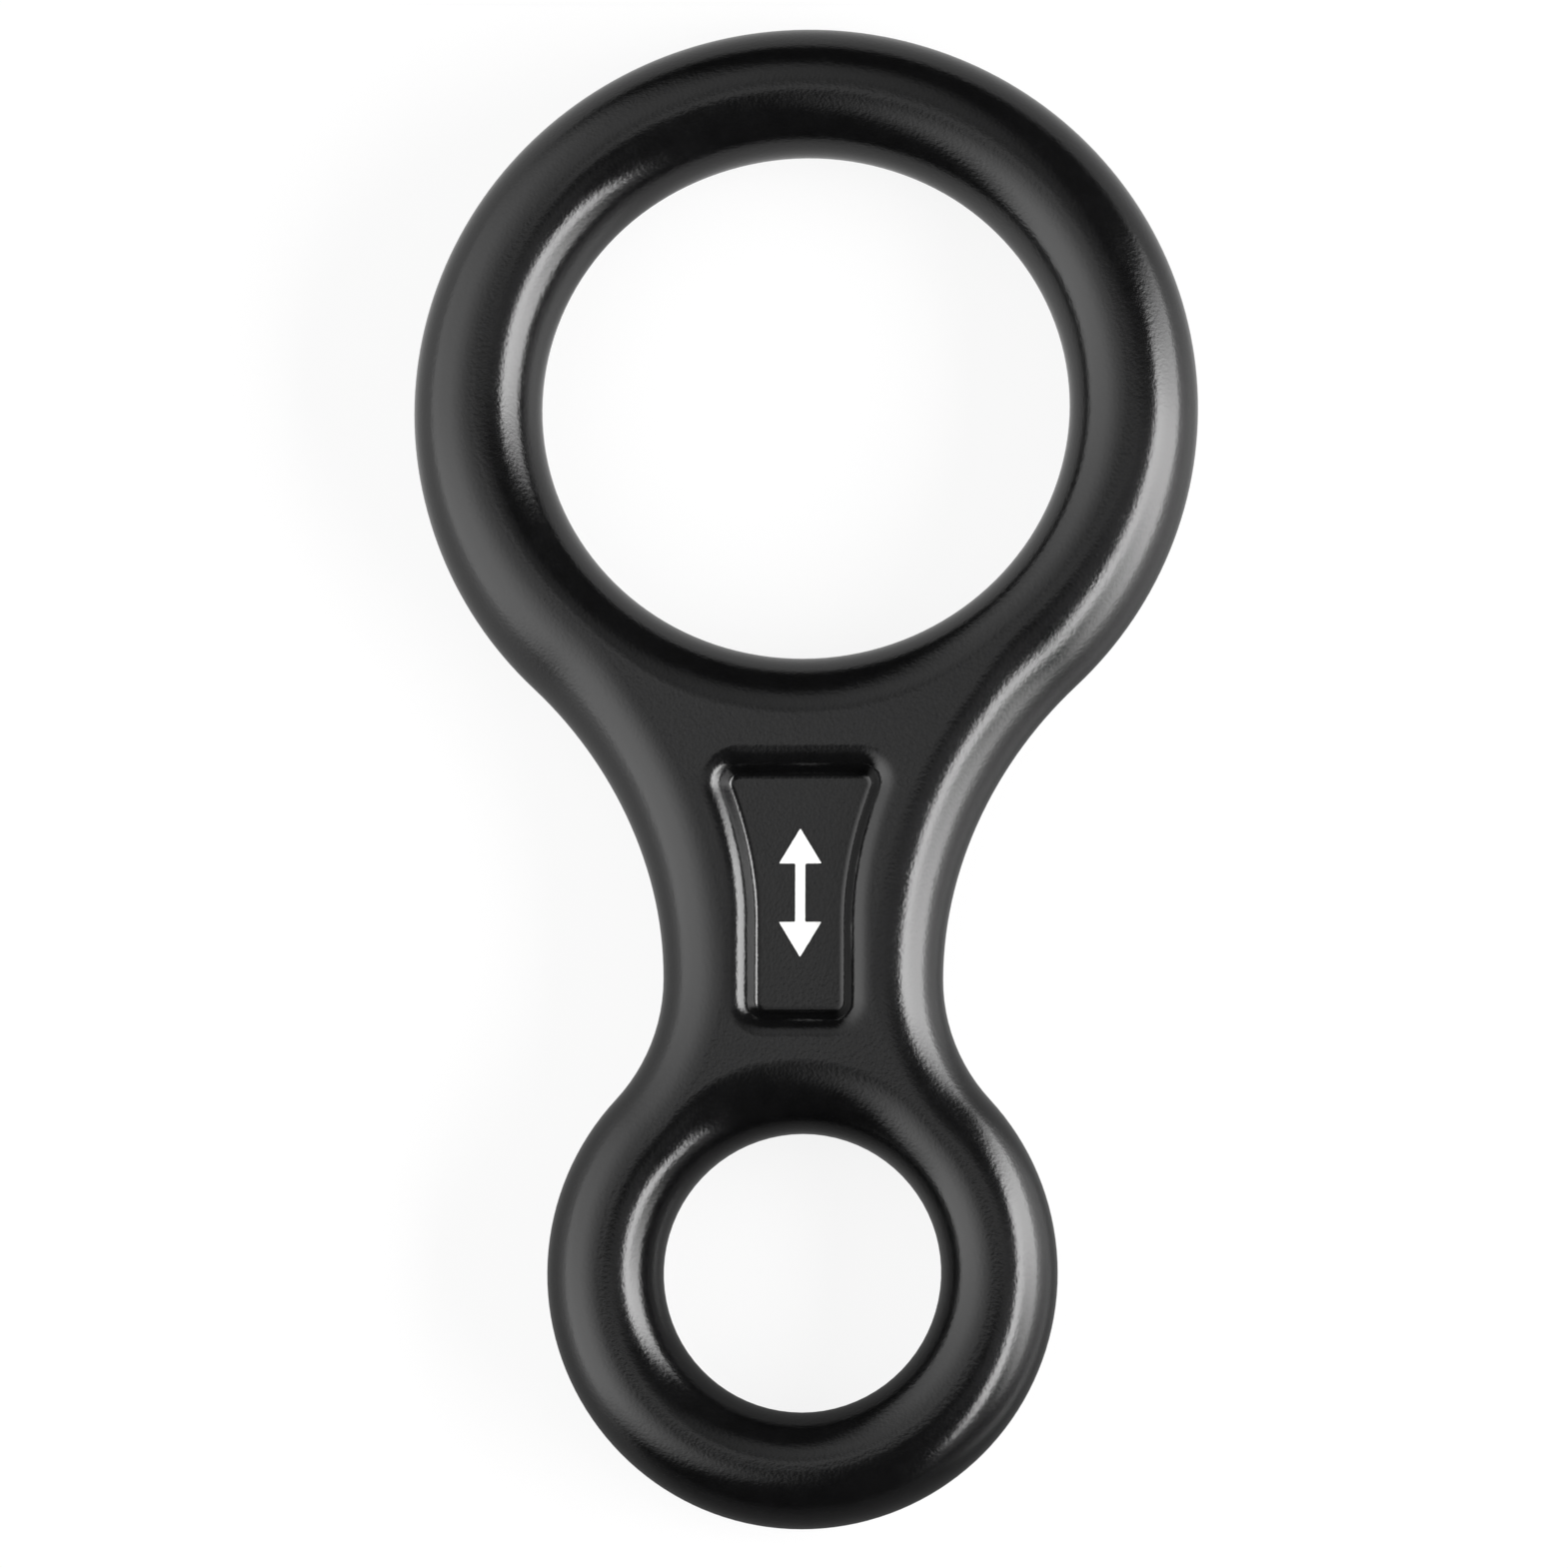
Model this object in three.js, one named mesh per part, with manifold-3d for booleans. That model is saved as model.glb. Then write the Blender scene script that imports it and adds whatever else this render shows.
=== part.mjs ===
import * as THREE from 'three';
import { mergeVertices } from 'three/addons/utils/BufferGeometryUtils.js';
import Module from 'manifold-3d';

// Figure eight descender, forged in one piece: a large rope eye, a small link eye and a waisted
// neck between them, with the same shallow pocket in both of the neck's faces. Lengths are in
// millimetres. The body lies on its back face, its front face up (+Z) and its rope eye towards
// +Y. The origin is the middle of its footprint on the surface that it lies on.

// The rope eye and the bar of metal round it
const ropeEyeWidth = 42.3;
const ropeEyeHeight = 40.4;
const ropeSideBar = 10.25;
const ropeCrownBar = 10.3;
const ropeNeckBar = 10.8;

// The link eye, for the carabiner, and its bar
const linkEyeDiameter = 22.1;
const linkBar = 9.25;

// The neck, measured across its waist, and its flanks
const eyeSpacing = 69.2;
const neckWidth = 22.3;
const neckFootRadius = 14.1;
const shoulderAngle = THREE.MathUtils.degToRad(46.3);
const shoulderHandleShare = 0.343;

// The section: oval bars, a flat neck, and the land that is left where the dies met
const bodyThickness = 11;
const partingLand = 0.4;
const crestLand = 0.4;

// The pocket in each face of the neck
const pocketRimRadius = 2;
const pocketWallFall = 0.6;
const pocketFloorFillet = 0.65;
const pocketFloorCorner = 0.35;
const pocketWallAngle = THREE.MathUtils.degToRad(62);
const pocketFlareAngle = THREE.MathUtils.degToRad(20.6);
const pocketFlare = 2.15;
const pocketBendShare = 0.4;
const pocketHeadLand = 2.9;
const pocketFootLand = 2.85;
const pocketSideLand = 1;
const cutOverrun = 0.3;

// How finely curves are divided
const facetLength = 2.6;
const edgeSteps = 6;
const rimSteps = 4;
const filletSteps = 2;
const cornerSteps = 5;
const flareSteps = 6;

// Sizes that follow from the ones above
const linkEyeRadius = linkEyeDiameter / 2;
const linkRadius = linkEyeRadius + linkBar;
const ropeHalfWidth = ropeEyeWidth / 2 + ropeSideBar;
const ropeHalfHeight = (ropeEyeHeight + ropeCrownBar + ropeNeckBar) / 2;
const ropeRingY = eyeSpacing + (ropeCrownBar - ropeNeckBar) / 2;
const bodyLength = linkRadius + ropeRingY + ropeHalfHeight;
const waistHalf = neckWidth / 2;
const edgeRound = (Math.min(ropeSideBar, ropeCrownBar, linkBar) - crestLand) / 2;
const halfThickness = bodyThickness / 2;

// Points along a curve in equal steps, without the last one, where the next curve starts.
function pointsAlong(curve, steps = Math.ceil(curve.getLength() / facetLength)) {
  return curve.getSpacedPoints(steps).slice(0, -1);
}

// A whole outline from its right half, which runs from its foot, at the link eye's end, to
// its head, at the rope eye's end.
function mirrored(rightHalf, head) {
  const leftHalf = rightHalf.slice(1).map((point) => new THREE.Vector2(-point.x, point.y));
  return [...rightHalf, head, ...leftHalf.reverse()];
}

// The body's outline from above, measured from the link eye's centre: the link ring, the
// concave foot of the neck, the flank that sweeps out to the shoulder, and the rope ring.
function bodyOutline() {
  const footReach = waistHalf + neckFootRadius;
  const waistY = Math.sqrt((linkRadius + neckFootRadius) ** 2 - footReach ** 2);
  const footAngle = Math.atan2(waistY, footReach);

  const waist = new THREE.Vector2(waistHalf, waistY);
  const shoulder = new THREE.Vector2(
    ropeHalfWidth * Math.cos(shoulderAngle),
    ropeRingY - ropeHalfHeight * Math.sin(shoulderAngle)
  );
  const ringDirection = new THREE.Vector2(
    ropeHalfWidth * Math.sin(shoulderAngle),
    ropeHalfHeight * Math.cos(shoulderAngle)
  ).normalize();
  const handle = shoulderHandleShare * waist.distanceTo(shoulder);
  const flank = new THREE.CubicBezierCurve(
    waist,
    new THREE.Vector2(waistHalf, waistY + handle),
    shoulder.clone().addScaledVector(ringDirection, -handle),
    shoulder
  );

  const linkRing = (from, to) => new THREE.EllipseCurve(0, 0, linkRadius, linkRadius, from, to);
  const ropeRing = (from, to) =>
    new THREE.EllipseCurve(0, ropeRingY, ropeHalfWidth, ropeHalfHeight, from, to);
  const foot = new THREE.EllipseCurve(
    footReach, waistY, neckFootRadius, neckFootRadius, Math.PI + footAngle, Math.PI, true
  );
  const stretches = [
    linkRing(-Math.PI / 2, 0),
    linkRing(0, footAngle),
    foot,
    flank,
    ropeRing(-shoulderAngle, 0),
    ropeRing(0, Math.PI / 2),
  ];
  const rightHalf = stretches.flatMap((stretch) => pointsAlong(stretch));
  return mirrored(rightHalf, new THREE.Vector2(0, ropeRingY + ropeHalfHeight));
}

// An eye's outline, in four equal quarters so that it reaches its full width and height.
function eyeOutline(y, width, height) {
  const quarter = (turn) => new THREE.EllipseCurve(
    0, y, width / 2, height / 2, turn * Math.PI / 2, (turn + 1) * Math.PI / 2
  );
  return [0, 1, 2, 3].flatMap((turn) => pointsAlong(quarter(turn)));
}

// The forging before its pockets: the outline with both eyes, rounded from the faces to the
// parting land. A bevel of a quarter ellipse makes the bars oval and leaves the neck flat.
function forgingGeometry() {
  const shape = new THREE.Shape(bodyOutline());
  shape.holes.push(new THREE.Path(eyeOutline(eyeSpacing, ropeEyeWidth, ropeEyeHeight)));
  shape.holes.push(new THREE.Path(eyeOutline(0, linkEyeDiameter, linkEyeDiameter)));
  const geometry = new THREE.ExtrudeGeometry(shape, {
    depth: partingLand,
    bevelThickness: (bodyThickness - partingLand) / 2,
    bevelSize: edgeRound,
    bevelOffset: -edgeRound,
    bevelSegments: edgeSteps,
  });
  return geometry.translate(0, 0, -partingLand / 2);
}

// How far the pocket's wall reaches in from its mouth, over the rim, the wall and the fillet.
const pocketReach = (pocketRimRadius + pocketFloorFillet) * Math.sin(pocketWallAngle)
  + pocketWallFall / Math.tan(pocketWallAngle);
const pocketDepth = (pocketRimRadius + pocketFloorFillet) * (1 - Math.cos(pocketWallAngle))
  + pocketWallFall;

// The pocket's outline from above, drawn in from its mouth by an even distance. It is straight
// beside the waist and flared towards the rope eye, with round corners, and its mouth leaves a
// land of flat metal to the rounded edges of the eyes and the flanks.
function pocketOutline(inset) {
  const foot = linkEyeRadius + edgeRound + pocketFootLand + inset;
  const head = eyeSpacing - ropeEyeHeight / 2 - edgeRound - pocketHeadLand - inset;
  const footHalf = waistHalf - edgeRound - pocketSideLand - inset;
  const headHalf = footHalf + pocketFlare;
  const radius = pocketReach + pocketFloorCorner - inset;

  const footCorner = new THREE.EllipseCurve(
    footHalf - radius, foot + radius, radius, radius, -Math.PI / 2, 0
  );
  const headCorner = new THREE.EllipseCurve(
    headHalf - radius, head - radius, radius, radius, -pocketFlareAngle, Math.PI / 2
  );
  const bend = new THREE.Vector2(footHalf, foot + pocketBendShare * (head - foot));
  const flareEnd = headCorner.getPoint(0);
  const elbow = new THREE.Vector2(
    footHalf, flareEnd.y - (flareEnd.x - footHalf) / Math.tan(pocketFlareAngle)
  );
  const flare = new THREE.QuadraticBezierCurve(bend, elbow, flareEnd);
  const rightHalf = [
    new THREE.Vector2(0, foot),
    ...pointsAlong(footCorner, cornerSteps),
    footCorner.getPoint(1),
    ...pointsAlong(flare, flareSteps),
    ...pointsAlong(headCorner, cornerSteps),
    headCorner.getPoint(1),
  ];
  return mirrored(rightHalf, new THREE.Vector2(0, head));
}

// The pocket's wall from mouth to floor, as pairs of inset and depth: a round rim, a steep
// wall and a fillet. The first pair carries the rim on, clear above the face.
function pocketStations() {
  const rim = [];
  for (let step = 1; step <= rimSteps; step++) {
    const angle = pocketWallAngle * step / rimSteps;
    rim.push([pocketRimRadius * Math.sin(angle), pocketRimRadius * (1 - Math.cos(angle))]);
  }
  const fillet = [];
  for (let step = filletSteps; step >= 0; step--) {
    const angle = pocketWallAngle * step / filletSteps;
    fillet.push([
      pocketReach - pocketFloorFillet * Math.sin(angle),
      pocketDepth - pocketFloorFillet * (1 - Math.cos(angle)),
    ]);
  }
  const [firstInset, firstDepth] = rim[0];
  return [[-cutOverrun * firstInset / firstDepth, -cutOverrun], ...rim, ...fillet];
}

// The cutter for the front pocket: its outline drawn in and sunk station by station, closed
// at both ends, with the body's middle plane at zero.
function pocketGeometry() {
  const stations = pocketStations();
  const loops = stations.map(([inset]) => pocketOutline(inset));
  const positions = loops.flatMap((loop, station) => {
    const [, depth] = stations[station];
    return loop.flatMap((point) => [point.x, point.y, halfThickness - depth]);
  });

  const count = loops[0].length;
  const floorStart = (loops.length - 1) * count;
  const triangles = [];
  for (let start = 0; start < floorStart; start += count) {
    for (let index = 0; index < count; index++) {
      const here = start + index;
      const next = start + (index + 1) % count;
      triangles.push(here, here + count, next + count);
      triangles.push(here, next + count, next);
    }
  }
  for (const [a, b, c] of THREE.ShapeUtils.triangulateShape(loops[0], [])) {
    triangles.push(a, b, c);
  }
  for (const [a, b, c] of THREE.ShapeUtils.triangulateShape(loops.at(-1), [])) {
    triangles.push(floorStart + a, floorStart + c, floorStart + b);
  }

  const geometry = new THREE.BufferGeometry();
  geometry.setAttribute('position', new THREE.Float32BufferAttribute(positions, 3));
  geometry.setIndex(triangles);
  return geometry;
}

const wasm = await Module();
wasm.setup();

// A solid to cut or to cut with, from a closed geometry whose corners are joined first.
function solidFrom(geometry) {
  geometry.deleteAttribute('normal');
  geometry.deleteAttribute('uv');
  const joined = mergeVertices(geometry);
  return new wasm.Manifold(new wasm.Mesh({
    numProp: 3,
    vertProperties: new Float32Array(joined.attributes.position.array),
    triVerts: new Uint32Array(joined.index.array),
  }));
}

// A drawable geometry from a solid.
function geometryFrom(solid) {
  const { vertProperties, triVerts } = solid.getMesh();
  const geometry = new THREE.BufferGeometry();
  geometry.setAttribute('position', new THREE.BufferAttribute(vertProperties, 3));
  geometry.setIndex(new THREE.BufferAttribute(triVerts, 1));
  geometry.computeVertexNormals();
  return geometry;
}

// The finished forging, with a pocket in its front face and the same one in its back face.
function bodyGeometry() {
  const frontPocket = solidFrom(pocketGeometry());
  const backPocket = solidFrom(pocketGeometry().rotateY(Math.PI));
  const forging = solidFrom(forgingGeometry());
  return geometryFrom(forging.subtract(frontPocket).subtract(backPocket));
}

// Aluminium with a satin black anodised surface.
const blackAnodised = new THREE.MeshStandardMaterial({
  color: 0x1b1b1c,
  roughness: 0.35,
  metalness: 0.6,
  flatShading: true,
});

const forgedBody = new THREE.Mesh(bodyGeometry(), blackAnodised);
forgedBody.name = 'forged_body';
forgedBody.position.set(0, linkRadius - bodyLength / 2, halfThickness);

const descender = new THREE.Group();
descender.add(forgedBody);

export default descender;
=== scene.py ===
"""Looks of a figure eight descender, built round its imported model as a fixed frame.

The forging is drawn again with finer curves than its solid has, in a satin black anodised finish,
and a white mark is printed in its front pocket. It lies on a pale floor between two softboxes,
with three dim fills above, and is seen from above. Lengths are in metres.
"""

import logging
import math
from collections.abc import Iterable, Sequence
from dataclasses import dataclass
from enum import Enum
from functools import partial, reduce

import bmesh
import bpy
from bmesh.types import BMEdge, BMesh, BMFace, BMVert
from mathutils import Matrix, Vector
from mathutils.geometry import interpolate_bezier


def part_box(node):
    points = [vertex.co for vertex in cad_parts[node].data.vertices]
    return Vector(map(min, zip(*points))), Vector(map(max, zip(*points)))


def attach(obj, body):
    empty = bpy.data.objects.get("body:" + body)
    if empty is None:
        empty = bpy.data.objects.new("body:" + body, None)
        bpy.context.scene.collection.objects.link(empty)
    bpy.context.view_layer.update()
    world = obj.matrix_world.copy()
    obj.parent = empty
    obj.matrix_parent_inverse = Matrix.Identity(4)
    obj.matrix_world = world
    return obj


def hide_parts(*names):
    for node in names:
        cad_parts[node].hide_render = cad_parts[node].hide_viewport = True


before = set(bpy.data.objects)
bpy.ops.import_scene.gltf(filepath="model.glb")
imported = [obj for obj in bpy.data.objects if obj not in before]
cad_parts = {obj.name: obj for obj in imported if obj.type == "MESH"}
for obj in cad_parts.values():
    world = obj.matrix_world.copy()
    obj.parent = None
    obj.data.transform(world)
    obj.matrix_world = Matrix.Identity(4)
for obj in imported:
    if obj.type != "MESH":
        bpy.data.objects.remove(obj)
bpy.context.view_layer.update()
BODY_NODE = "forged_body"
BODY = "root"
QUARTER_TURN = math.pi / 2
MERGE_DISTANCE = 1e-6
PARABOLA_HANDLE_SHARE = 2 / 3
WHITE = (1, 1, 1, 1)
Y_AXIS = Vector((0, 1, 0))
Z_AXIS = Vector((0, 0, 1))

log = logging.getLogger("descender")

Source = bpy.types.NodeSocket | float | tuple[float, ...]


class Slot(Enum):
    """The record's material slots."""

    BLACK_ANODISED = "black_anodised"
    WHITE_PRINT = "white_print"


class MetalSide(Enum):
    """The side of a closed line that the metal is on."""

    INSIDE = 1
    OUTSIDE = -1


class Pen:
    """Draws a line of edges in a mesh, one stretch after another."""

    def __init__(self, mesh: BMesh, start: Vector, step: float) -> None:
        """Put the pen down.

        Args:
            mesh: The mesh that takes the line.
            start: Where the line begins.
            step: About how long an edge of a curved stretch is.
        """
        self.mesh = mesh
        self.step = step
        self.start: BMVert = mesh.verts.new(start)
        self.tip = self.start

    def line(self, end: Vector) -> None:
        """Carry the line straight on to a point."""
        self.tip = bmesh.ops.extrude_vert_indiv(self.mesh, verts=[self.tip])["verts"][0]
        self.tip.co = end

    def curve(self, handle: Vector, far_handle: Vector, end: Vector) -> None:
        """Carry the line on along a Bezier curve.

        Args:
            handle: The handle at the line's tip.
            far_handle: The handle at the curve's end.
            end: Where the curve ends.
        """
        steps = math.ceil((end - self.tip.co).length / self.step)
        for point in interpolate_bezier(self.tip.co, handle, far_handle, end, steps + 1)[1:]:
            self.line(point)

    def arc(self, centre: Vector, radii: tuple[float, float], turn: float) -> None:
        """Spin the tip round a centre, along a circle or an ellipse.

        Args:
            centre: The middle of the ellipse.
            radii: Its half-width and half-height.
            turn: How far to go round, anticlockwise where it is positive.
        """
        to_circle = Matrix.Diagonal((1 / radii[0], 1 / radii[1], 1, 1))
        steps = math.ceil(abs(turn) * sum(radii) / 2 / self.step)
        made = bmesh.ops.spin(
            self.mesh, geom=[self.tip], cent=to_circle @ centre, axis=Z_AXIS, angle=turn,
            steps=steps, space=to_circle,
        )
        self.tip = corners_of(made["geom_last"])[0]


def corners_of(geometry: Iterable[BMVert | BMEdge | BMFace]) -> list[BMVert]:
    """The corners in what an operator gives back."""
    return [item for item in geometry if isinstance(item, BMVert)]


def edges_of(geometry: Iterable[BMVert | BMEdge | BMFace]) -> list[BMEdge]:
    """The edges in what an operator gives back."""
    return [item for item in geometry if isinstance(item, BMEdge)]


def mirror_whole(mesh: BMesh, axis: str) -> None:
    """Mirror all that a mesh holds across its middle plane, and weld the halves."""
    whole = [*mesh.verts, *mesh.edges, *mesh.faces]
    bmesh.ops.mirror(mesh, geom=whole, axis=axis, merge_dist=MERGE_DISTANCE)


def followed(start: BMVert) -> tuple[list[BMVert], list[BMEdge]]:
    """Follow a closed line of edges that has no faces yet.

    Args:
        start: One of its corners.

    Returns:
        The line's corners in order, and its edges.
    """
    corners = [start]
    edges = [start.link_edges[0]]
    while (corner := edges[-1].other_vert(corners[-1])) != start:
        corners.append(corner)
        edges.append(next(edge for edge in corner.link_edges if edge != edges[-1]))
    return corners, edges


def ways_into_metal(corners: Sequence[BMVert], side: MetalSide) -> list[Vector]:
    """Find the level direction from each corner of a closed line into the metal.

    Args:
        corners: The line's corners, in order.
        side: The side that the metal is on.

    Returns:
        Unit vectors, square to the line.
    """
    following = [*corners[1:], corners[0]]
    before = [corners[-1], *corners[:-1]]
    area = sum(a.co.x * b.co.y - b.co.x * a.co.y for a, b in zip(corners, following))
    sign = side.value * math.copysign(1, area)
    return [
        sign * Vector((a.co.y - b.co.y, b.co.x - a.co.x, 0)).normalized()
        for a, b in zip(before, following)
    ]


def eased(place: float, knots: Sequence[tuple[float, float]]) -> float:
    """Read a value that eases from one knot to the next.

    Args:
        place: Where to read it.
        knots: Places in rising order, each with its value.

    Returns:
        The value there, which is level before the first knot and after the last.
    """
    for (start, low), (end, high) in zip(knots, knots[1:]):
        if place < end:
            share = max(0.0, (place - start) / (end - start))
            return low + (high - low) * share * share * (3 - 2 * share)
    return knots[-1][1]


def finished(name: str, mesh: BMesh, smooth: bool) -> bpy.types.Object:
    """Make a finished piece from a mesh, riding on the body.

    Args:
        name: The piece's name.
        mesh: Its mesh, in place, which is freed.
        smooth: Whether its faces are shaded as one curved surface.

    Returns:
        The piece.
    """
    bmesh.ops.remove_doubles(mesh, verts=mesh.verts, dist=MERGE_DISTANCE)
    bmesh.ops.recalc_face_normals(mesh, faces=mesh.faces)
    for face in mesh.faces:
        face.smooth = smooth
    data = bpy.data.meshes.new(name)
    mesh.to_mesh(data)
    mesh.free()
    piece = bpy.data.objects.new(name, data)
    bpy.context.scene.collection.objects.link(piece)
    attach(piece, BODY)
    return piece


class NodeTree:
    """A node tree that is being filled."""

    def __init__(self, tree: bpy.types.NodeTree) -> None:
        """Start with an empty tree."""
        self.tree = tree
        tree.nodes.clear()

    def add(self, kind: str, sources: dict[str | int, Source] | None = None,
            **settings: object) -> bpy.types.Node:
        """Add a node.

        Args:
            kind: Its type.
            sources: What feeds its inputs: sockets, or plain values.
            settings: Its other settings.

        Returns:
            The node.
        """
        node = self.tree.nodes.new(kind)
        for name, value in settings.items():
            setattr(node, name, value)
        for key, source in (sources or {}).items():
            if isinstance(source, bpy.types.NodeSocket):
                self.tree.links.new(source, node.inputs[key])
            else:
                node.inputs[key].default_value = source
        return node

    def spread(self, source: Source, given: tuple[float, float],
               wanted: tuple[float, float]) -> bpy.types.NodeSocket:
        """Spread a range of values over another range.

        Args:
            source: The value.
            given: The range that it lies in, which bounds the result too.
            wanted: What the two ends of that range become.

        Returns:
            The value in its new range.
        """
        node = self.add("ShaderNodeMapRange", {
            "Value": source, "From Min": given[0], "From Max": given[1],
            "To Min": wanted[0], "To Max": wanted[1],
        })
        return node.outputs["Result"]

    def both(self, operation: str, first: Source, second: Source) -> bpy.types.NodeSocket:
        """Two values put together by an operation of the Math node."""
        return self.add("ShaderNodeMath", {0: first, 1: second}, operation=operation).outputs[0]

    def blend(self, share: Source, first: bpy.types.NodeSocket,
              second: bpy.types.NodeSocket) -> bpy.types.NodeSocket:
        """Two shaders blended, with a share of the second."""
        return self.add("ShaderNodeMixShader", {0: share, 1: first, 2: second}).outputs[0]


@dataclass(frozen=True)
class Unevenness:
    """One layer of a grain: how wide its swells are, and the finer noise on them."""

    size: float
    detail: float
    roughness: float

    def laid(self, tree: NodeTree, place: Source, coarseness: Source) -> bpy.types.NodeSocket:
        """Lay it into a node tree.

        Args:
            tree: The tree that takes it.
            place: The point of the piece that it is read at.
            coarseness: What its size is multiplied by.

        Returns:
            A value from 0 to 1.
        """
        scale = tree.both("DIVIDE", 1 / self.size, coarseness)
        noise = tree.add("ShaderNodeTexNoise", {
            "Vector": place, "Scale": scale, "Detail": self.detail, "Roughness": self.roughness,
        })
        return noise.outputs["Fac"]


@dataclass(frozen=True)
class MetalGrain:
    """The grain of blasted and anodised metal, as a node group that every finish on it shares."""

    name: str = "metal_grain"
    pits: Unevenness = Unevenness(size=0.00028, detail=2.5, roughness=0.6)
    dimples: Unevenness = Unevenness(size=0.0016, detail=1.5, roughness=0.5)
    dimple_share: float = 0.15
    mottle_gain: float = 2.0

    def group(self) -> bpy.types.NodeTree:
        """The group, made when it is first asked for."""
        return bpy.data.node_groups.get(self.name) or self.made()

    def made(self) -> bpy.types.NodeTree:
        """Make the group.

        Returns:
            A group that turns a Place and a Coarseness into a Height, from 0 to 1, and a
            Mottle, from 0 to its gain.
        """
        group = bpy.data.node_groups.new(self.name, "ShaderNodeTree")
        for name, way, kind in (
            ("Place", "INPUT", "NodeSocketVector"),
            ("Coarseness", "INPUT", "NodeSocketFloat"),
            ("Height", "OUTPUT", "NodeSocketFloat"),
            ("Mottle", "OUTPUT", "NodeSocketFloat"),
        ):
            group.interface.new_socket(name, in_out=way, socket_type=kind)

        tree = NodeTree(group)
        given = tree.add("NodeGroupInput").outputs
        pits = self.pits.laid(tree, given["Place"], given["Coarseness"])
        dimples = self.dimples.laid(tree, given["Place"], given["Coarseness"])
        height = tree.add("ShaderNodeMix", {"Factor": self.dimple_share, "A": pits, "B": dimples})
        mottle = tree.both("MULTIPLY", pits, dimples)
        tree.add("NodeGroupOutput", {
            "Height": height.outputs["Result"],
            "Mottle": tree.spread(mottle, (0.0, 1.0), (0.0, self.mottle_gain)),
        })
        return group


@dataclass(frozen=True)
class Finish:
    """A finish on the metal: its colour and gloss, and how much of the grain shows in them."""

    slot: Slot
    dark: tuple[float, float, float]
    light: tuple[float, float, float]
    smoothest: float
    roughest: float
    refraction: float
    coarseness: float
    grain_height: float
    grain: MetalGrain = MetalGrain()

    def material(self) -> bpy.types.Material:
        """Make the finish's material.

        Returns:
            The material, which reads the piece's own coordinates.
        """
        material = bpy.data.materials.new(self.slot.value)
        material.use_nodes = True
        tree = NodeTree(material.node_tree)
        place = tree.add("ShaderNodeTexCoord").outputs["Object"]
        grain = tree.add(
            "ShaderNodeGroup", {"Place": place, "Coarseness": self.coarseness},
            node_tree=self.grain.group(),
        ).outputs
        mottle = grain["Mottle"]
        colour = tree.add(
            "ShaderNodeMix", {"Factor": mottle, "A": (*self.dark, 1), "B": (*self.light, 1)},
            data_type="RGBA",
        )
        bump = tree.add("ShaderNodeBump", {
            "Height": grain["Height"], "Distance": self.grain_height, "Strength": 1.0,
        })
        shader = tree.add("ShaderNodeBsdfPrincipled", {
            "Base Color": colour.outputs["Result"],
            "Roughness": tree.spread(mottle, (0.0, 1.0), (self.smoothest, self.roughest)),
            "Normal": bump.outputs["Normal"],
            "IOR": self.refraction,
        })
        tree.add("ShaderNodeOutputMaterial", {"Surface": shader.outputs["BSDF"]})
        return material


BLACK_ANODISED = Finish(
    slot=Slot.BLACK_ANODISED,
    dark=(0.002, 0.002, 0.0021),
    light=(0.004, 0.004, 0.0042),
    smoothest=0.14,
    roughest=0.21,
    refraction=1.5,
    coarseness=1.0,
    grain_height=0.000023,
)
WHITE_PRINT = Finish(
    slot=Slot.WHITE_PRINT,
    dark=(0.82, 0.82, 0.81),
    light=(0.9, 0.9, 0.89),
    smoothest=0.5,
    roughest=0.62,
    refraction=1.5,
    coarseness=1.4,
    grain_height=0.000003,
)


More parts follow.
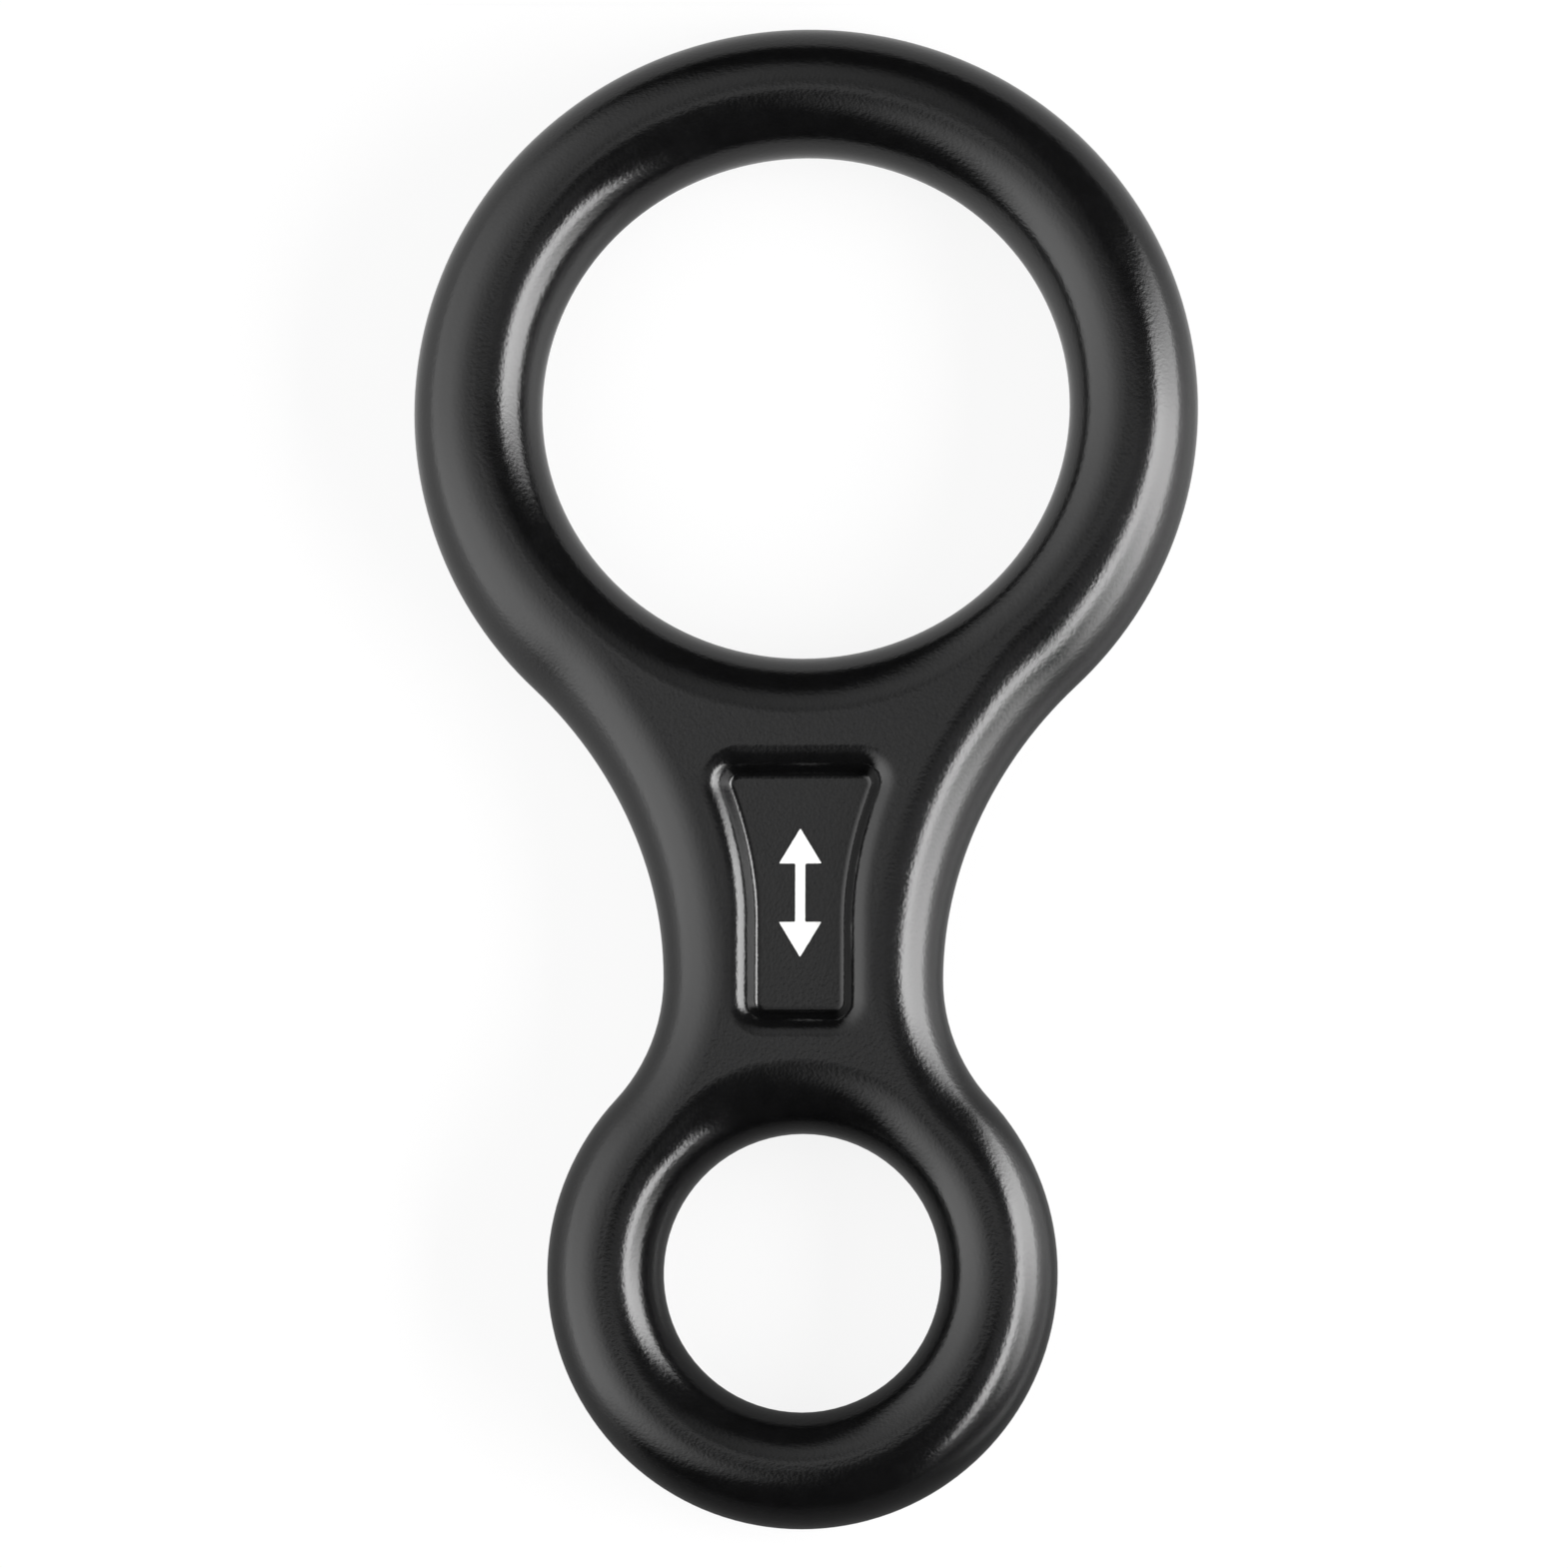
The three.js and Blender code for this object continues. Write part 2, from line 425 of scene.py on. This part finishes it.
@dataclass(frozen=True)
class Pocket:
    """The shallow pocket in each face of the neck, with its sizes as in the solid."""

    foot_y: float
    head_y: float
    foot_half: float
    flare: float = 0.00215
    flare_angle: float = math.radians(20.6)
    bend_share: float = 0.4
    rim_radius: float = 0.002
    wall_fall: float = 0.0006
    wall_angle: float = math.radians(62)
    floor_fillet: float = 0.00065
    floor_corner: float = 0.00035
    rim_rows: int = 9
    fillet_rows: int = 5
    step: float = 0.0005

    @property
    def reach(self) -> float:
        """How far in the floor's edge lies from the mouth."""
        rounds = (self.rim_radius + self.floor_fillet) * math.sin(self.wall_angle)
        return rounds + self.wall_fall / math.tan(self.wall_angle)

    @property
    def depth(self) -> float:
        """How deep the floor lies under the face."""
        rounds = (self.rim_radius + self.floor_fillet) * (1 - math.cos(self.wall_angle))
        return rounds + self.wall_fall

    @property
    def middle_y(self) -> float:
        """The pocket's middle, along the length."""
        return (self.foot_y + self.head_y) / 2

    def draw_half_mouth(self, mesh: BMesh, height: float) -> BMVert:
        """Draw the right half of the mouth, from its foot to its head.

        Args:
            mesh: The mesh that takes it.
            height: The face's height.

        Returns:
            The line's first corner.
        """
        radius = self.reach + self.floor_corner
        head_half = self.foot_half + self.flare
        pen = Pen(mesh, Vector((0, self.foot_y, height)), self.step)

        foot_corner = Vector((self.foot_half - radius, self.foot_y + radius, height))
        pen.line(foot_corner - Vector((0, radius, 0)))
        pen.arc(foot_corner, (radius, radius), QUARTER_TURN)

        head_corner = Vector((head_half - radius, self.head_y - radius, height))
        flared = Vector((math.cos(self.flare_angle), -math.sin(self.flare_angle), 0))
        flare_end = head_corner + radius * flared
        bend_y = self.foot_y + self.bend_share * (self.head_y - self.foot_y)
        elbow_y = flare_end.y - (flare_end.x - self.foot_half) / math.tan(self.flare_angle)
        bend = Vector((self.foot_half, bend_y, height))
        elbow = Vector((self.foot_half, elbow_y, height))
        pen.line(bend)
        handle, far_handle = (end.lerp(elbow, PARABOLA_HANDLE_SHARE) for end in (bend, flare_end))
        pen.curve(handle, far_handle, flare_end)

        pen.arc(head_corner, (radius, radius), QUARTER_TURN + self.flare_angle)
        pen.line(Vector((0, self.head_y, height)))
        return pen.start

    def stations(self) -> list[tuple[float, float]]:
        """How far in and how deep each row of the wall lies, from the mouth to the floor."""
        rim = [self.wall_angle * row / self.rim_rows for row in range(self.rim_rows + 1)]
        fillet = [
            self.wall_angle * (1 - row / self.fillet_rows) for row in range(self.fillet_rows + 1)
        ]
        return [
            *((self.rim_radius * math.sin(a), self.rim_radius * (1 - math.cos(a))) for a in rim),
            *(
                (self.reach - self.floor_fillet * math.sin(a),
                 self.depth - self.floor_fillet * (1 - math.cos(a)))
                for a in fillet
            ),
        ]

    def sink(self, mesh: BMesh, mouth: list[BMEdge]) -> None:
        """Close the mouth with a floor, and inset that row by row down to its depth.

        Args:
            mesh: The mesh that holds the mouth.
            mouth: The mouth's edges.
        """
        floor = bmesh.ops.contextual_create(mesh, geom=mouth)["faces"][0]
        floor.normal_update()
        if floor.normal.z < 0:
            floor.normal_flip()
        stations = self.stations()
        for (inset, depth), (next_inset, next_depth) in zip(stations, stations[1:]):
            bmesh.ops.inset_region(
                mesh, faces=[floor], thickness=next_inset - inset, depth=depth - next_depth,
                use_even_offset=True, use_boundary=True,
            )


@dataclass(frozen=True)
class EdgeRound:
    """How an edge is rounded: values at places along the length, in rising order.

    The reach is how far in the crest lies. The taper is 1 for an ellipse, and more for a flank
    that slopes more evenly from its foot to its crest.
    """

    reach: Sequence[tuple[float, float]]
    taper: Sequence[tuple[float, float]] = ((0.0, 1.0),)


@dataclass(frozen=True)
class ForgedBody:
    """The forging: a rope eye, a link eye and the neck between them, with a pocket in each face.

    Its length, width and thickness are the solid's own.
    """

    low: Vector
    high: Vector
    rope_eye_width: float = 0.0423
    rope_eye_height: float = 0.0404
    rope_crown_bar: float = 0.0103
    rope_neck_bar: float = 0.0108
    link_eye_diameter: float = 0.0221
    link_bar: float = 0.00925
    neck_width: float = 0.0223
    neck_foot_radius: float = 0.0141
    shoulder_angle: float = math.radians(46.3)
    shoulder_handle_share: float = 0.343
    link_rounding: float = 0.00446
    link_eye_neck_rounding: float = 0.0057
    link_eye_neck_angle: float = math.radians(43)
    neck_rounding: float = 0.00525
    neck_head_rounding: float = 0.0056
    shoulder_rounding: float = 0.0061
    rope_rounding: float = 0.00498
    eye_shoulder_rounding: float = 0.0042
    eye_crown_rounding: float = 0.0052
    shoulder_taper: float = 1.4
    eye_crown_taper: float = 1.3
    pocket_head_land: float = 0.0029
    pocket_foot_land: float = 0.00285
    pocket_side_land: float = 0.001
    pocket_edge_round: float = 0.0044
    step: float = 0.0009
    side_rows: int = 20
    crest_crowding: float = 1.6
    large_face_weight: int = 100

    @property
    def link_radius(self) -> float:
        """The link ring's outer radius."""
        return self.link_eye_diameter / 2 + self.link_bar

    @property
    def link_y(self) -> float:
        """The link eye's centre, along the length."""
        return self.low.y + self.link_radius

    @property
    def rope_radii(self) -> tuple[float, float]:
        """The rope ring's outer half-width and half-height."""
        height = self.rope_eye_height + self.rope_crown_bar + self.rope_neck_bar
        return self.high.x, height / 2

    @property
    def rope_eye_y(self) -> float:
        """The rope eye's centre, along the length."""
        return self.high.y - self.rope_crown_bar - self.rope_eye_height / 2

    @property
    def half_thickness(self) -> float:
        """Half the thickness."""
        return (self.high.z - self.low.z) / 2

    @property
    def front_pocket(self) -> Pocket:
        """The pocket, whose mouth leaves lands of flat metal round it."""
        eye_end = self.rope_eye_y - self.rope_eye_height / 2
        link_end = self.link_y + self.link_eye_diameter / 2
        return Pocket(
            foot_y=link_end + self.pocket_edge_round + self.pocket_foot_land,
            head_y=eye_end - self.pocket_edge_round - self.pocket_head_land,
            foot_half=self.neck_width / 2 - self.pocket_edge_round - self.pocket_side_land,
        )

    @property
    def waist_y(self) -> float:
        """The neck's narrowest place, along the length."""
        across = self.neck_width / 2 + self.neck_foot_radius
        apart = self.link_radius + self.neck_foot_radius
        return self.link_y + math.sqrt(apart ** 2 - across ** 2)

    @property
    def shoulder(self) -> Vector:
        """Where the right flank meets the rope ring."""
        half_width, half_height = self.rope_radii
        return Vector((
            half_width * math.cos(self.shoulder_angle),
            self.high.y - half_height * (1 + math.sin(self.shoulder_angle)),
            0,
        ))

    def draw_half_outline(self, mesh: BMesh) -> BMVert:
        """Draw the right half of the outline, from the link ring's foot to the rope ring's head.

        Args:
            mesh: The mesh that takes it, with the body's middle plane at zero height.

        Returns:
            The line's first corner.
        """
        waist = Vector((self.neck_width / 2, self.waist_y, 0))
        foot_centre = waist + Vector((self.neck_foot_radius, 0, 0))
        link_centre = Vector((0, self.link_y, 0))
        foot_angle = (foot_centre - link_centre).xy.angle_signed(Vector((1, 0)))
        pen = Pen(mesh, Vector((0, self.low.y, 0)), self.step)
        pen.arc(link_centre, (self.link_radius, self.link_radius), QUARTER_TURN + foot_angle)
        pen.arc(foot_centre, (self.neck_foot_radius, self.neck_foot_radius), -foot_angle)

        half_width, half_height = self.rope_radii
        ring_way = Vector((
            half_width * math.sin(self.shoulder_angle),
            half_height * math.cos(self.shoulder_angle),
            0,
        )).normalized()
        handle = self.shoulder_handle_share * (self.shoulder - waist).length
        pen.curve(waist + Vector((0, handle, 0)), self.shoulder - handle * ring_way, self.shoulder)
        pen.arc(
            Vector((0, self.high.y - half_height, 0)), self.rope_radii,
            self.shoulder_angle + QUARTER_TURN,
        )
        return pen.start

    def draw_eye(self, mesh: BMesh, centre_y: float, width: float, height: float) -> BMVert:
        """Draw an eye's edge at mid-thickness.

        Args:
            mesh: The mesh that takes it.
            centre_y: The eye's centre, along the length.
            width: The eye's width.
            height: The eye's height.

        Returns:
            One of the line's corners.
        """
        radii = Matrix.Diagonal((width / 2, height / 2, 1, 1))
        made = bmesh.ops.create_circle(
            mesh, segments=math.ceil(math.pi * width / self.step), radius=1,
            matrix=Matrix.Translation((0, centre_y, 0)) @ radii,
        )
        return made["verts"][0]

    @property
    def outline_round(self) -> EdgeRound:
        """The outline's rounding."""
        return EdgeRound(
            reach=[
                (self.link_y + self.link_eye_diameter / 2, self.link_rounding),
                (self.waist_y, self.neck_rounding),
                (self.front_pocket.head_y, self.neck_head_rounding),
                (self.shoulder.y, self.shoulder_rounding),
                (self.rope_eye_y, self.rope_rounding),
            ],
            taper=[
                (self.waist_y, 1.0),
                (self.shoulder.y, self.shoulder_taper),
                (self.rope_eye_y, 1.0),
            ],
        )

    @property
    def rope_eye_round(self) -> EdgeRound:
        """The rope eye's rounding."""
        half_height = self.rope_eye_height / 2
        rise = half_height * math.sin(self.shoulder_angle)
        return EdgeRound(
            reach=[
                (self.rope_eye_y - half_height, self.rope_rounding),
                (self.rope_eye_y - rise, self.eye_shoulder_rounding),
                (self.rope_eye_y, self.rope_rounding),
                (self.rope_eye_y + rise, self.eye_crown_rounding),
            ],
            taper=[
                (self.rope_eye_y, 1.0),
                (self.rope_eye_y + rise, self.eye_crown_taper),
                (self.rope_eye_y + half_height, 1.0),
            ],
        )

    @property
    def link_eye_round(self) -> EdgeRound:
        """The link eye's rounding, which is widest towards the neck."""
        radius = self.link_eye_diameter / 2
        return EdgeRound(reach=[
            (self.link_y + radius * math.sin(self.link_eye_neck_angle), self.link_rounding),
            (self.link_y + radius, self.link_eye_neck_rounding),
        ])

    def round_up(self, mesh: BMesh, start: BMVert, side: MetalSide,
                 edge_round: EdgeRound) -> list[BMEdge]:
        """Grow a rounded edge from a closed line at mid-thickness up to its crest.

        The rows lie closer together towards the crest, where the flat metal has to meet them
        without a line.

        Args:
            mesh: The mesh that holds the line.
            start: One of the line's corners.
            side: The side of the line that the metal is on.
            edge_round: How the edge is rounded.

        Returns:
            The crest's edges.
        """
        base = mesh.verts.layers.float_vector["base"]
        way_in = mesh.verts.layers.float_vector["way_in"]
        taper = mesh.verts.layers.float["taper"]
        corners, edges = followed(start)
        for corner, way in zip(corners, ways_into_metal(corners, side)):
            corner[base] = corner.co
            corner[way_in] = way * eased(corner.co.y, edge_round.reach)
            corner[taper] = eased(corner.co.y, edge_round.taper)
        for row in range(1, self.side_rows + 1):
            angle = QUARTER_TURN * (1 - (1 - row / self.side_rows) ** self.crest_crowding)
            grown = bmesh.ops.extrude_edge_only(mesh, edges=edges)["geom"]
            for corner in corners_of(grown):
                rise = self.half_thickness * math.sin(angle) ** corner[taper]
                corner.co = corner[base] + corner[way_in] * (1 - math.cos(angle)) + Z_AXIS * rise
            edges = edges_of(grown)
        return edges

    def build(self) -> bpy.types.Object:
        """Build the forging in its place.

        Returns:
            The piece, which stands for the solid.
        """
        mesh = bmesh.new()
        mesh.verts.layers.float_vector.new("base")
        mesh.verts.layers.float_vector.new("way_in")
        mesh.verts.layers.float.new("taper")
        pocket = self.front_pocket
        outline = self.draw_half_outline(mesh)
        mouth = pocket.draw_half_mouth(mesh, self.half_thickness)
        mirror_whole(mesh, "X")
        mouth_edges = followed(mouth)[1]
        rope_eye = self.draw_eye(mesh, self.rope_eye_y, self.rope_eye_width, self.rope_eye_height)
        link_eye = self.draw_eye(mesh, self.link_y, self.link_eye_diameter, self.link_eye_diameter)

        crests = [
            *self.round_up(mesh, outline, MetalSide.INSIDE, self.outline_round),
            *self.round_up(mesh, rope_eye, MetalSide.OUTSIDE, self.rope_eye_round),
            *self.round_up(mesh, link_eye, MetalSide.OUTSIDE, self.link_eye_round),
        ]
        bmesh.ops.triangle_fill(mesh, edges=[*crests, *mouth_edges], use_beauty=True)
        pocket.sink(mesh, mouth_edges)
        mirror_whole(mesh, "Z")
        bmesh.ops.translate(mesh, verts=mesh.verts, vec=(0, 0, self.low.z + self.half_thickness))

        piece = finished("descender_forging", mesh, smooth=True)
        even_shading = piece.modifiers.new("even_shading", "WEIGHTED_NORMAL")
        even_shading.weight = self.large_face_weight
        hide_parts(BODY_NODE)
        return piece

    def dress(self, piece: bpy.types.Object) -> None:
        """Give the forging its finish."""
        piece.data.materials.append(BLACK_ANODISED.material())


@dataclass(frozen=True)
class LoadAxisMark:
    """A plain arrow with two heads, printed along the floor of the front pocket."""

    centre: Vector
    length: float = 0.01025
    width: float = 0.0034
    head_length: float = 0.0028
    shaft_width: float = 0.0008
    corner_radius: float = 0.00012
    ink_thickness: float = 0.00003
    bedding: float = 0.00001
    corner_segments: int = 3

    def build(self) -> bpy.types.Object:
        """Build the mark on the pocket's floor.

        Returns:
            The piece.
        """
        neck = self.length / 2 - self.head_length
        mesh = bmesh.new()
        pen = Pen(mesh, Vector((self.shaft_width / 2, 0, 0)), self.length)
        pen.line(Vector((self.shaft_width / 2, neck, 0)))
        pen.line(Vector((self.width / 2, neck, 0)))
        pen.line(Vector((0, self.length / 2, 0)))
        mirror_whole(mesh, "X")
        mirror_whole(mesh, "Y")
        bmesh.ops.contextual_create(mesh, geom=mesh.edges)
        points = [corner for corner in mesh.verts if abs(corner.co.y) > MERGE_DISTANCE]
        bmesh.ops.bevel(
            mesh, geom=points, affect="VERTICES", offset=self.corner_radius,
            segments=self.corner_segments, profile=0.5, material=-1,
        )
        raised = bmesh.ops.extrude_face_region(mesh, geom=mesh.faces[:])["geom"]
        bmesh.ops.translate(mesh, verts=corners_of(raised), vec=(0, 0, self.ink_thickness))
        bmesh.ops.translate(mesh, verts=mesh.verts, vec=self.centre - self.bedding * Z_AXIS)
        return finished("load_axis_mark", mesh, smooth=False)

    def dress(self, piece: bpy.types.Object) -> None:
        """Give the mark its ink."""
        piece.data.materials.append(WHITE_PRINT.material())


@dataclass(frozen=True)
class CornerFlag:
    """A flag over a softbox's corner, at the high end of its X and the low end of its Y.

    Its shade sets in along X over one range of shares of the panel, and lifts along Y over
    another. The level is the share of the light that it lets through.
    """

    along_x: tuple[float, float]
    along_y: tuple[float, float]
    level: float


@dataclass(frozen=True)
class Softbox:
    """A lit panel that faces a point, and that the camera doesn't see.

    Its light fades over a share of the panel at the low and the high end of its own X and Y: to
    the foot level at the high end of X, and else to nothing. A flag may shade a corner. Until it
    is rolled, the panel's Y runs along the object, towards the rope eye.
    """

    name: str
    place: Vector
    aim: Vector
    size: tuple[float, float]
    radiance: float
    fade_x: tuple[float, float]
    fade_y: tuple[float, float]
    roll: float = 0.0
    foot_level: float = 0.0
    flag: CornerFlag | None = None

    def build(self) -> bpy.types.Object:
        """Set the softbox up.

        Returns:
            The lamp.
        """
        data = bpy.data.lights.new(self.name, "AREA")
        data.shape = "RECTANGLE"
        data.size, data.size_y = self.size
        data.energy = self.radiance * math.pi * data.size * data.size_y
        self.grade(data)
        lamp = bpy.data.objects.new(self.name, data)
        lamp.location = self.place
        back = (self.place - self.aim).normalized()
        across = Y_AXIS.cross(back).normalized()
        facing = Matrix((across, back.cross(across), back)).transposed()
        lamp.rotation_euler = (facing @ Matrix.Rotation(self.roll, 3, "Z")).to_euler()
        lamp.visible_camera = False
        bpy.context.scene.collection.objects.link(lamp)
        return lamp

    def grade(self, data: bpy.types.AreaLight) -> None:
        """Let the panel's light fade towards its edges and under its flag.

        Args:
            data: The lamp's data.
        """
        data.use_nodes = True
        tree = NodeTree(data.node_tree)
        on_panel = tree.add("ShaderNodeNewGeometry").outputs["Parametric"]
        place = tree.add("ShaderNodeSeparateXYZ", {0: on_panel}).outputs
        ends = {"X": (self.fade_x, self.foot_level), "Y": (self.fade_y, 0.0)}
        ramps = []
        for axis, ((low, high), high_level) in ends.items():
            if low:
                ramps.append(tree.spread(place[axis], (0.0, low), (0.0, 1.0)))
            if high:
                ramps.append(tree.spread(place[axis], (1 - high, 1.0), (1.0, high_level)))
        if self.flag:
            before = tree.spread(place["X"], self.flag.along_x, (1.0, self.flag.level))
            beyond = tree.spread(place["Y"], self.flag.along_y, (self.flag.level, 1.0))
            ramps.append(tree.both("MAXIMUM", before, beyond))
        level = reduce(partial(tree.both, "MULTIPLY"), ramps)
        lit = tree.add("ShaderNodeEmission", {"Strength": level})
        tree.add("ShaderNodeOutputLight", {"Surface": lit.outputs["Emission"]})


@dataclass(frozen=True)
class Floor:
    """The pale floor, which the camera sees as a white background and the metal as a painted
    reflection.
    """

    half_size: float = 4.0
    colour: tuple[float, float, float, float] = (0.8, 0.8, 0.8, 1)
    shadow_share: float = 0.14
    shadow_radius: float = 0.07
    fade_radius: float = 0.125
    # The metal's view of the floor is painted: a white that thins out towards the link eye, and a
    # dark polished copy of the floor, as painted shade and painted sheen.
    mirrored_white: float = 0.55
    painted_shade_from: tuple[float, float] = (-0.06, 0.03)
    painted_shade_colour: tuple[float, float, float, float] = (0.1, 0.1, 0.1, 1)
    mirrored_roughness: float = 0.2

    def build(self) -> bpy.types.Object:
        """Lay the floor under the forging.

        Returns:
            The floor, which isn't part of the object.
        """
        mesh = bmesh.new()
        bmesh.ops.create_grid(mesh, x_segments=1, y_segments=1, size=self.half_size)
        data = bpy.data.meshes.new("floor")
        mesh.to_mesh(data)
        mesh.free()
        floor = bpy.data.objects.new("floor", data)
        floor.data.materials.append(self.material())
        bpy.context.scene.collection.objects.link(floor)
        return floor

    def material(self) -> bpy.types.Material:
        """Make the floor's material.

        Returns:
            Plain pale paint. Rays from the camera see a white of strength 1 over it, thin enough
            near the object to keep its shadow. Rays that the metal mirrors see a painted
            reflection: a dark polished copy of the floor, as painted shade and painted sheen,
                under a white that thins
            out towards the link eye as painted shade.
        """
        material = bpy.data.materials.new("floor")
        material.use_nodes = True
        tree = NodeTree(material.node_tree)
        paint = tree.add("ShaderNodeBsdfDiffuse", {"Color": self.colour}).outputs["BSDF"]
        paper = tree.add("ShaderNodeBsdfDiffuse", {"Color": WHITE}).outputs["BSDF"]
        place = tree.add("ShaderNodeTexCoord").outputs["Object"]
        path = tree.add("ShaderNodeLightPath").outputs

        distance = tree.add("ShaderNodeVectorMath", {0: place}, operation="LENGTH")
        whiteness = tree.spread(
            distance.outputs["Value"], (self.shadow_radius, self.fade_radius),
            (1 - self.shadow_share, 1.0),
        )
        white = tree.add("ShaderNodeEmission", {"Strength": 1.0}).outputs["Emission"]
        background = tree.blend(whiteness, paper, white)

        # Painted reflection: a dark polished copy of the floor as painted shade and painted sheen,
        # under a white that thins out towards the link eye as painted shade.
        painted_sheen_and_shade = tree.add("ShaderNodeBsdfPrincipled", {
            "Base Color": self.painted_shade_colour, "Roughness": self.mirrored_roughness,
        }).outputs["BSDF"]
        y = tree.add("ShaderNodeSeparateXYZ", {0: place}).outputs["Y"]
        white_with_painted_shade = tree.spread(y, self.painted_shade_from, (0.0, self.mirrored_white))
        mirrored = tree.blend(white_with_painted_shade, painted_sheen_and_shade, white)
        mirrors = tree.both("MAXIMUM", path["Is Glossy Ray"], path["Is Transmission Ray"])
        unseen = tree.blend(mirrors, paint, mirrored)
        shown = tree.blend(path["Is Camera Ray"], unseen, background)
        tree.add("ShaderNodeOutputMaterial", {"Surface": shown})
        return material


@dataclass(frozen=True)
class Studio:
    """The lights round the object: bright from the right, softer from the left, dim above."""

    softboxes: tuple[Softbox, ...]
    room_level: float = 0.02

    def build(self) -> None:
        """Set up the softboxes and the room."""
        for softbox in self.softboxes:
            log.info("%s is lit", softbox.build().name)
        world = bpy.data.worlds.new("room")
        world.use_nodes = True
        bpy.context.scene.world = world
        tree = NodeTree(world.node_tree)
        camera_ray = tree.add("ShaderNodeLightPath").outputs["Is Camera Ray"]
        strength = tree.spread(camera_ray, (0.0, 1.0), (self.room_level, 1.0))
        room = tree.add("ShaderNodeBackground", {"Color": WHITE, "Strength": strength})
        tree.add("ShaderNodeOutputWorld", {"Surface": room.outputs["Background"]})


@dataclass(frozen=True)
class PhotoCamera:
    """A long lens above the object, at the photo's angle."""

    aim_z: float
    aim_x: float = -0.0016
    aim_y: float = -0.0007
    lean_right: float = math.radians(4.5)
    lean_down: float = math.radians(5.5)
    roll: float = math.radians(0.22)
    distance: float = 0.9
    view_width: float = 0.12496
    sensor_width: float = 36.0

    def build(self) -> bpy.types.Object:
        """Set the camera up as the scene's own.

        Returns:
            The camera.
        """
        data = bpy.data.cameras.new("photo_camera")
        data.sensor_width = self.sensor_width
        data.lens = self.sensor_width * self.distance / self.view_width
        camera = bpy.data.objects.new("photo_camera", data)
        back = Vector((math.sin(self.lean_right), -math.sin(self.lean_down), 1))
        back.z = math.sqrt(1 - back.x ** 2 - back.y ** 2)
        up = Vector((math.sin(-self.roll), math.cos(self.roll), 0))
        across = up.cross(back).normalized()
        camera.location = Vector((self.aim_x, self.aim_y, self.aim_z)) + back * self.distance
        camera.rotation_euler = Matrix((across, back.cross(across), back)).transposed().to_euler()
        bpy.context.scene.collection.objects.link(camera)
        bpy.context.scene.camera = camera
        return camera


def photo_studio() -> Studio:
    """The studio's lights, with their places set by the highlights on the metal."""
    return Studio(softboxes=(
        Softbox(
            name="right_softbox", place=Vector((0.255, -0.085, 0.185)),
            aim=Vector((0, -0.085, 0.357)), size=(0.445, 0.48), radiance=12.5,
            fade_x=(0.18, 0.5), fade_y=(0.13, 0.2), roll=math.radians(-8), foot_level=0.65,
            flag=CornerFlag(along_x=(0.67, 0.8), along_y=(0.44, 0.7), level=0.05),
        ),
        Softbox(
            name="left_softbox", place=Vector((-0.403, 0.21, 0.502)),
            aim=Vector((0, 0.21, 0.222)), size=(1.2, 1.78), radiance=2.6, fade_x=(0.0, 0.6),
            fade_y=(0.2, 0.67),
        ),
        Softbox(
            name="top_fill", place=Vector((-0.02, 0.5, 0.85)), aim=Vector((0, 0, 0)),
            size=(0.7, 0.9), radiance=0.46, fade_x=(0.4, 0.4), fade_y=(0.35, 0.3),
        ),
        Softbox(
            name="camera_fill", place=Vector((0.05, 0.08, 1.0)), aim=Vector((0.05, 0.08, 0)),
            size=(0.8, 0.27), radiance=0.9, fade_x=(0.3, 0.3), fade_y=(0.45, 0.45),
        ),
        Softbox(
            name="right_fill", place=Vector((0.5, -0.08, 0.85)), aim=Vector((0, 0, 0)),
            size=(0.7, 0.8), radiance=0.4, fade_x=(0.3, 0.3), fade_y=(0.35, 0.35),
        ),
    ))


def main() -> None:
    """Build the descender and its studio."""
    logging.basicConfig(level=logging.INFO, format="%(name)s: %(message)s")
    bpy.context.scene.view_settings.view_transform = "Standard"

    low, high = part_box(BODY_NODE)
    body = ForgedBody(low, high)
    pocket = body.front_pocket
    mark = LoadAxisMark(Vector((0, pocket.middle_y, high.z - pocket.depth)))
    for part in (body, mark):
        piece = part.build()
        part.dress(piece)
        log.info("%s has %d faces", piece.name, len(piece.data.polygons))

    floor = Floor().build()
    photo_studio().build()
    camera = PhotoCamera(aim_z=high.z / 2).build()
    log.info("%s and %s are in place", floor.name, camera.name)


if __name__ == "__main__":
    main()
